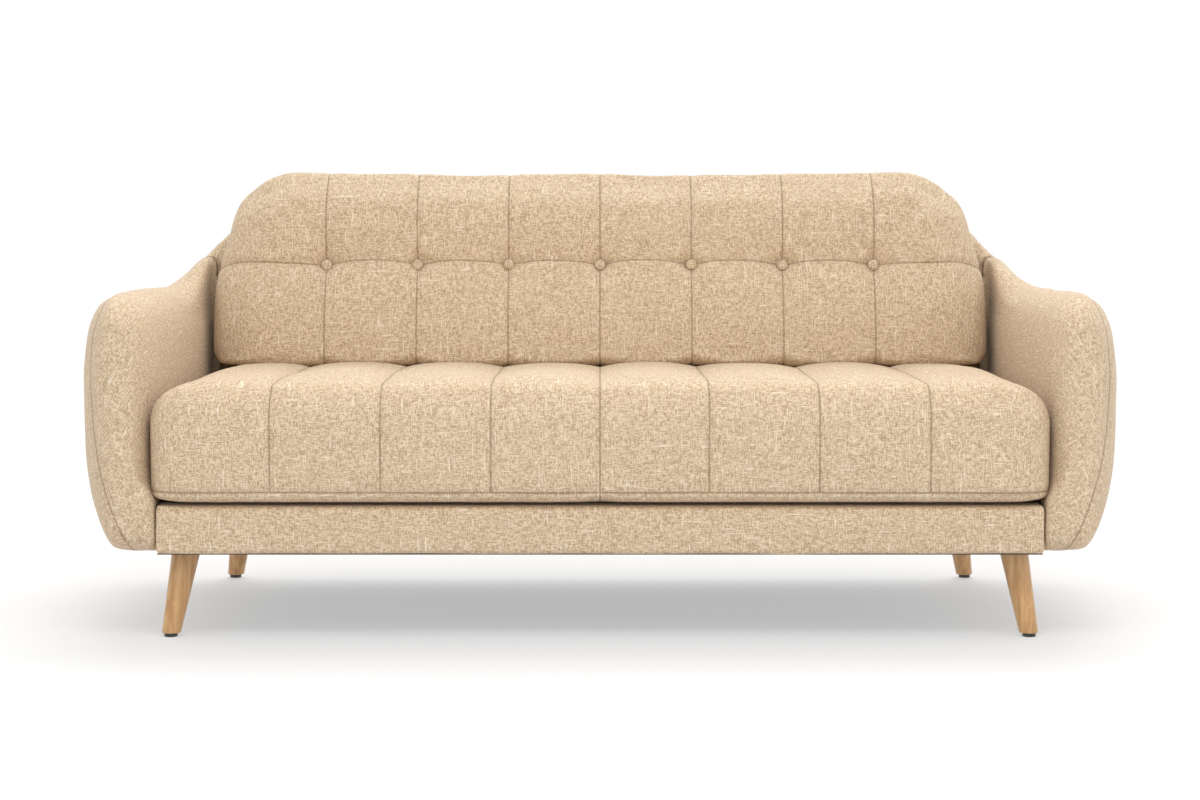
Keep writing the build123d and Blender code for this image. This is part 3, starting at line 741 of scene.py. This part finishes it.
def arm_solid(side):
    section = smooth_line(ARM_SECTION, 0.012, True)
    centre_x, centre_z = 0.845, 0.400
    rings = []
    steps = [0.0, 0.0015, 0.004, 0.008, 0.014, 0.022, 0.032, 0.045, 0.06, 0.08]
    steps += [0.105, 0.135, 0.17, 0.21, 0.26, *np.linspace(0.31, 0.75, 10)]
    for s in steps:
        ring = []
        for px, pz in section:
            # Beside the front rail the inside edge stays close; above it, it rounds away from the seat
            beside_seat = smooth(0.235, 0.300, pz)
            if px > centre_x:
                share = (px - centre_x) / (ARM_OUTER - centre_x)
                px -= share * quarter(s, 0.36, 0.100)
            else:
                share = (centre_x - px) / (centre_x - ARM_BESIDE_RAIL)
                rounding = quarter(s, 0.085, 0.040) * beside_seat
                rounding += quarter(s, 0.020, 0.008) * (1 - beside_seat)
                px += share * rounding
            if pz > centre_z:
                pz -= (pz - centre_z) / (ARM_TOP - centre_z) * quarter(s, 0.15, 0.062)
            else:
                pz += (centre_z - pz) / (centre_z - FLOOR_GAP) * quarter(s, 0.075, 0.035)
            ring.append((side * px, ARM_FRONT + s, pz))
        rings.append(ring)
    front = np.array(rings[0])
    middle = np.array([side * centre_x, ARM_FRONT, centre_z])
    for share, bulge in ((0.85, 0.0015), (0.65, 0.003), (0.4, 0.004), (0.15, 0.0045)):
        ring = middle + (front - middle) * share
        ring[:, 1] -= bulge
        rings.insert(0, [tuple(p) for p in ring])
    return tube("arm_solid", rings)


def back_solid():
    """The back with its wings: an outline across the sofa, drawn in toward the rounded edges of its depth."""
    half = smooth_line(BACK_OUTLINE, 0.016, False)
    outline = np.concatenate([half, half[::-1] * np.array([-1, 1])])
    outline = outline[np.concatenate([[True], np.linalg.norm(np.diff(outline, axis=0), axis=1) > 1e-6])]
    middle = np.array([0.0, 0.45])
    rings = []
    for t in np.linspace(0, 1, 30):
        ring = []
        for px, pz in outline:
            near = BACK_ORIGIN.y + (pz - BACK_ORIGIN.z) * tan(LEAN)
            high = np.clip((pz - FLOOR_GAP) / (BACK_TOP - FLOOR_GAP), 0, 1)
            far = 0.368 + 0.064 * high
            deep = far - near
            draw = quarter(deep * t, 0.034, 0.030) + quarter(deep * (1 - t), 0.045, 0.036)
            out = np.array([px, pz]) - middle
            edge = np.abs(out) / np.array([0.95, 0.35])
            pull = np.clip(edge, 0, 1) ** 2 * np.sign(out)
            if pz < 0.25:
                pull[1] = 0
            spot = np.array([px, pz]) - pull * draw
            ring.append((spot[0], near + deep * t, spot[1]))
        rings.append(ring)
    return tube("back_solid", rings)


def shoulder_solid(side):
    """The slope that carries an arm's top up into the wing."""
    xs = np.linspace(0.797, 0.925, 26)
    ys = np.linspace(0.02, 0.36, 30)
    arm = smooth_line(ARM_SECTION, 0.004, True)
    arm_top = np.array([max(pz for px, pz in arm if abs(px - x) < 0.006) for x in xs])
    wing = smooth_line(BACK_OUTLINE, 0.004, False)
    wing_top = np.array([max(pz for px, pz in wing if abs(px - x) < 0.006) for x in xs])
    vertices, faces = [], []
    for j, y in enumerate(ys):
        blend = smooth(0.06, 0.315, y) ** 1.25
        for i, x in enumerate(xs):
            top = arm_top[i] + (wing_top[i] - arm_top[i]) * blend
            inner_round = quarter(x - xs[0], 0.034, 0.030) * blend
            vertices.append((side * x, y, top - 0.004 - inner_round))
    count = len(vertices)
    vertices += [(px, py, 0.42) for px, py, _ in vertices]
    nx, ny = len(xs), len(ys)
    for j in range(ny - 1):
        for i in range(nx - 1):
            a = j * nx + i
            quad = [a, a + 1, a + nx + 1, a + nx]
            faces += [quad, [count + corner for corner in reversed(quad)]]
    rim = [i for i in range(nx)] + [j * nx + nx - 1 for j in range(1, ny)]
    rim += [(ny - 1) * nx + i for i in range(nx - 2, -1, -1)] + [j * nx for j in range(ny - 2, 0, -1)]
    for a, b in zip(rim, rim[1:] + rim[:1]):
        faces.append([a, b, count + b, count + a])
    obj = new_object("shoulder_solid", vertices, faces)
    outward(obj)
    return obj


def join(objects, name):
    """One object from several."""
    form = bmesh.new()
    for obj in objects:
        form.from_mesh(obj.data)
        bpy.data.objects.remove(obj)
    mesh = bpy.data.meshes.new(name)
    form.to_mesh(mesh)
    form.free()
    obj = bpy.data.objects.new(name, mesh)
    scene.collection.objects.link(obj)
    return obj


def cut(obj, name, planes):
    """A closed copy of what lies in front of each plane, given as a point and a direction."""
    form = bmesh.new()
    form.from_mesh(obj.data)
    for point, direction in planes:
        geometry = form.verts[:] + form.edges[:] + form.faces[:]
        done = bmesh.ops.bisect_plane(
            form, geom=geometry, plane_co=point, plane_no=direction, clear_inner=True
        )
        rim = [e for e in done["geom_cut"] if isinstance(e, bmesh.types.BMEdge)]
        filled = bmesh.ops.edgeloop_fill(form, edges=rim)["faces"]
        bmesh.ops.triangulate(form, faces=filled)
    bmesh.ops.remove_doubles(form, verts=form.verts, dist=0.0003)
    bmesh.ops.recalc_face_normals(form, faces=form.faces)
    mesh = bpy.data.meshes.new(name)
    form.to_mesh(mesh)
    form.free()
    made = bpy.data.objects.new(name, mesh)
    scene.collection.objects.link(made)
    return made


def circle_through(a, b, c):
    (ax, ay), (bx, by), (cx, cy) = a, b, c
    d = 2 * (ax * (by - cy) + bx * (cy - ay) + cx * (ay - by))
    ux = ((ax**2 + ay**2) * (by - cy) + (bx**2 + by**2) * (cy - ay) + (cx**2 + cy**2) * (ay - by)) / d
    uy = ((ax**2 + ay**2) * (cx - bx) + (bx**2 + by**2) * (ax - cx) + (cx**2 + cy**2) * (bx - ax)) / d
    return np.array([ux, uy]), float(np.hypot(ax - ux, ay - uy))


SEAM_CENTRE, SEAM_RADIUS = circle_through((0.876, 0.600), (0.893, 0.420), (0.822, 0.165))


def depth_behind(points):
    """Distance of points behind the leaning face of the inside back."""
    return -(points - np.array(BACK_ORIGIN)) @ np.array(BACK_FORWARD)


def upholstered_shell():
    solids = [arm_solid(-1), arm_solid(1), back_solid(), shoulder_solid(-1), shoulder_solid(1)]
    whole = join(solids, "shell_solid")
    voxel = 0.0085
    remesh(whole, voxel)
    soften(whole, 7)
    points = get_points(whole)
    points[:, 2] = np.maximum(points[:, 2], FLOOR_GAP + 0.0005)
    set_points(whole, points)
    made = {}
    behind = -BACK_FORWARD
    for name, side in (("left_arm", -1), ("right_arm", 1)):
        planes = [(BACK_ORIGIN - behind * FACE_GAP, BACK_FORWARD), (Vector((0, 0, 0)), Vector((side, 0, 0)))]
        made[name] = cut(whole, f"{name}_upholstery", planes)
    made["back"] = cut(whole, "back_upholstery", [(BACK_ORIGIN + behind * FACE_GAP, behind)])
    bpy.data.objects.remove(whole)
    for name, obj in made.items():
        points, normals = get_points(obj), get_normals(obj)
        behind_face = depth_behind(points)
        if name == "back":
            first = behind_face - 0.033
            second = behind_face
            drawn = bell(first, 0.006) * 0.0026
        else:
            across_and_up = np.stack([np.abs(points[:, 0]), points[:, 2]], 1)
            first = np.linalg.norm(across_and_up - SEAM_CENTRE, axis=1) - SEAM_RADIUS
            first = np.where(np.abs(points[:, 0]) > 0.80, first, NO_SEAM)
            second = behind_face
            drawn = bell(first, 0.0065) * 0.0022
            drawn = np.where(normals[:, 2] < -0.8, 0, drawn)
        ripple = bell(first, 0.03) * waves(points, 31, 0.06) * 0.0008 + waves(points, 32, 0.30) * 0.0011
        if name == "back":
            ripple = np.maximum(ripple, -0.0008)
        still = behind_face < 0.004 if name == "back" else behind_face > -0.004
        move = np.where(still, 0, ripple - drawn)
        set_points(obj, points + normals * move[:, None])
        set_number(obj, "seam_a", first)
        set_number(obj, "seam_b", second)
    return made


def settle_shell(made):
    for name, side in (("left", -1), ("right", 1)):
        replaced = (f"{name}_arm_foam", f"{name}_arm_front_cover", f"{name}_arm_outer_cover")
        piece(made[f"{name}_arm"], "frame", ARM_FABRIC[side], replaced)
    replaced = ("back_foam", "inside_back_cover", "outside_back_cover", "back_top_roll", "left_wing_block",
                "right_wing_block")
    piece(made["back"], "frame", FABRIC, replaced)


# ---------------------------------------------------------------- front rail and deck
def front_rail():
    low = (rail_low.x, rail_low.y + 0.0005, rail_low.z)
    high = (rail_high.x, rail_high.y, rail_high.z)
    obj, flat, way = lattice("front_rail_upholstery", low, high, (0.004, 0.012, 0.010), (0.004, 0.002, 0.011),
                             ([], [], []), 0.012)
    points = get_points(obj)
    front = smooth(0.3, 0.9, -way[:, 1])
    belly = pillow(flat[:, 2], [], low[2] - 0.01, high[2] + 0.01, 0.5)
    move = front * (0.0020 * belly + 0.0009 * waves(points, 41, 0.16) + 0.0005 * waves(points, 42, 0.05))
    points += way * move[:, None]
    hem = smooth(0.2, 0.8, -way[:, 2]) * (front + 0.3)
    points[:, 2] += 0.0012 * waves(points * [1, 0, 0], 43, 0.24) * hem
    points[:, 2] = np.maximum(points[:, 2], rail_low.z - 0.001)
    set_points(obj, points)
    for name in ("seam_a", "seam_b"):
        set_number(obj, name, np.full(len(points), NO_SEAM))
    subdivide(obj)
    return piece(obj, "frame", FABRIC, ("front_rail_cover", "front_rail_padding"))


def deck():
    """The cloth-covered springing that the seat cushion lies on, with its cloth sewn in three panels."""
    marks = [-0.26, 0.26]
    obj, flat, way = lattice("deck_cloth", tuple(deck_low), tuple(deck_high), (0.006, 0.006, 0.003),
                             (0.006, 0.006, 0.003), (marks, [], []), 0.02)
    points = get_points(obj)
    top = smooth(0.5, 0.95, way[:, 2])
    near = np.abs(seam_distance(flat[:, 0], marks))
    sink = 0.0015 * bell(near, 0.006) + 0.0006 * (1 + waves(points, 51, 0.12)) / 2
    points -= way * (top * sink)[:, None]
    set_points(obj, points)
    subdivide(obj)
    return piece(obj, "frame", DECK_CLOTH, ("deck_pad",))


# ---------------------------------------------------------------- the object
seat_cushion()
cushion_buttons(back_cushion())
settle_shell(upholstered_shell())
front_rail()
deck()

for name, node in nodes.items():
    if not node.hide_render:
        material = FINISHES[slot_of(name)]
        for index in range(max(1, len(node.data.materials))):
            if index < len(node.material_slots):
                node.material_slots[index].material = material
            else:
                node.data.materials.append(material)

# ---------------------------------------------------------------- floor, light and camera
floor_material = Shader("studio_floor")
paper = floor_material.noise(floor_material.where.outputs["Object"], (3, 3, 3), 2.0, 0.5)
floor_shade = floor_material.colour(paper, (0.425, 0.425, 0.425), (0.435, 0.435, 0.435))
reach = 60
floor_corners = [(-reach, -reach, 0), (reach, -reach, 0), (reach, reach, 0), (-reach, reach, 0)]
floor = new_object("studio_floor", floor_corners, [[0, 1, 2, 3]])
floor_glow = dict(Specular_IOR_Level=0.1, Emission_Color=(1, 1, 1, 1), Emission_Strength=0.42)
floor.data.materials.append(floor_material.finish(floor_shade, 0.9, **floor_glow))

world = bpy.data.worlds.new("studio")
scene.world = world
world.use_nodes = True
world.node_tree.nodes["Background"].inputs["Color"].default_value = (1, 1, 1, 1)
world.node_tree.nodes["Background"].inputs["Strength"].default_value = 1.0


def softbox(name, place, aim, width, height, power):
    data = bpy.data.lights.new(name, "AREA")
    data.shape = "RECTANGLE"
    data.size, data.size_y = width, height
    data.energy = power
    light = bpy.data.objects.new(name, data)
    light.location = place
    light.rotation_euler = (Vector(aim) - Vector(place)).to_track_quat("-Z", "Y").to_euler()
    scene.collection.objects.link(light)


TOWARD_SUN = Vector((0.10, 0.72, 1.0))
key_data = bpy.data.lights.new("overhead", "SUN")
key_data.angle = radians(44)
key_data.energy = 1.50
key = bpy.data.objects.new("overhead", key_data)
key.rotation_euler = (-TOWARD_SUN).to_track_quat("-Z", "Y").to_euler()
scene.collection.objects.link(key)
softbox("front_top", (0.15, -2.0, 2.7), (0, 0.2, 0.5), 1.8, 1.0, 25)
softbox("side_right", (3.4, -1.6, 1.3), (0, 0, 0.45), 1.4, 1.4, 5)

CAMERA_DISTANCE, CAMERA_HEIGHT = 4.203, 0.693
CAMERA_DOWN = 4.05
camera_data = bpy.data.cameras.new("camera")
camera_data.sensor_width = 36
camera_data.lens = 65.65
camera_data.dof.use_dof = False
camera = bpy.data.objects.new("camera", camera_data)
camera.location = (0, -CAMERA_DISTANCE, CAMERA_HEIGHT)
camera.rotation_euler = (radians(90 - CAMERA_DOWN), 0, 0)
scene.collection.objects.link(camera)
scene.camera = camera
scene.view_settings.view_transform = "Standard"
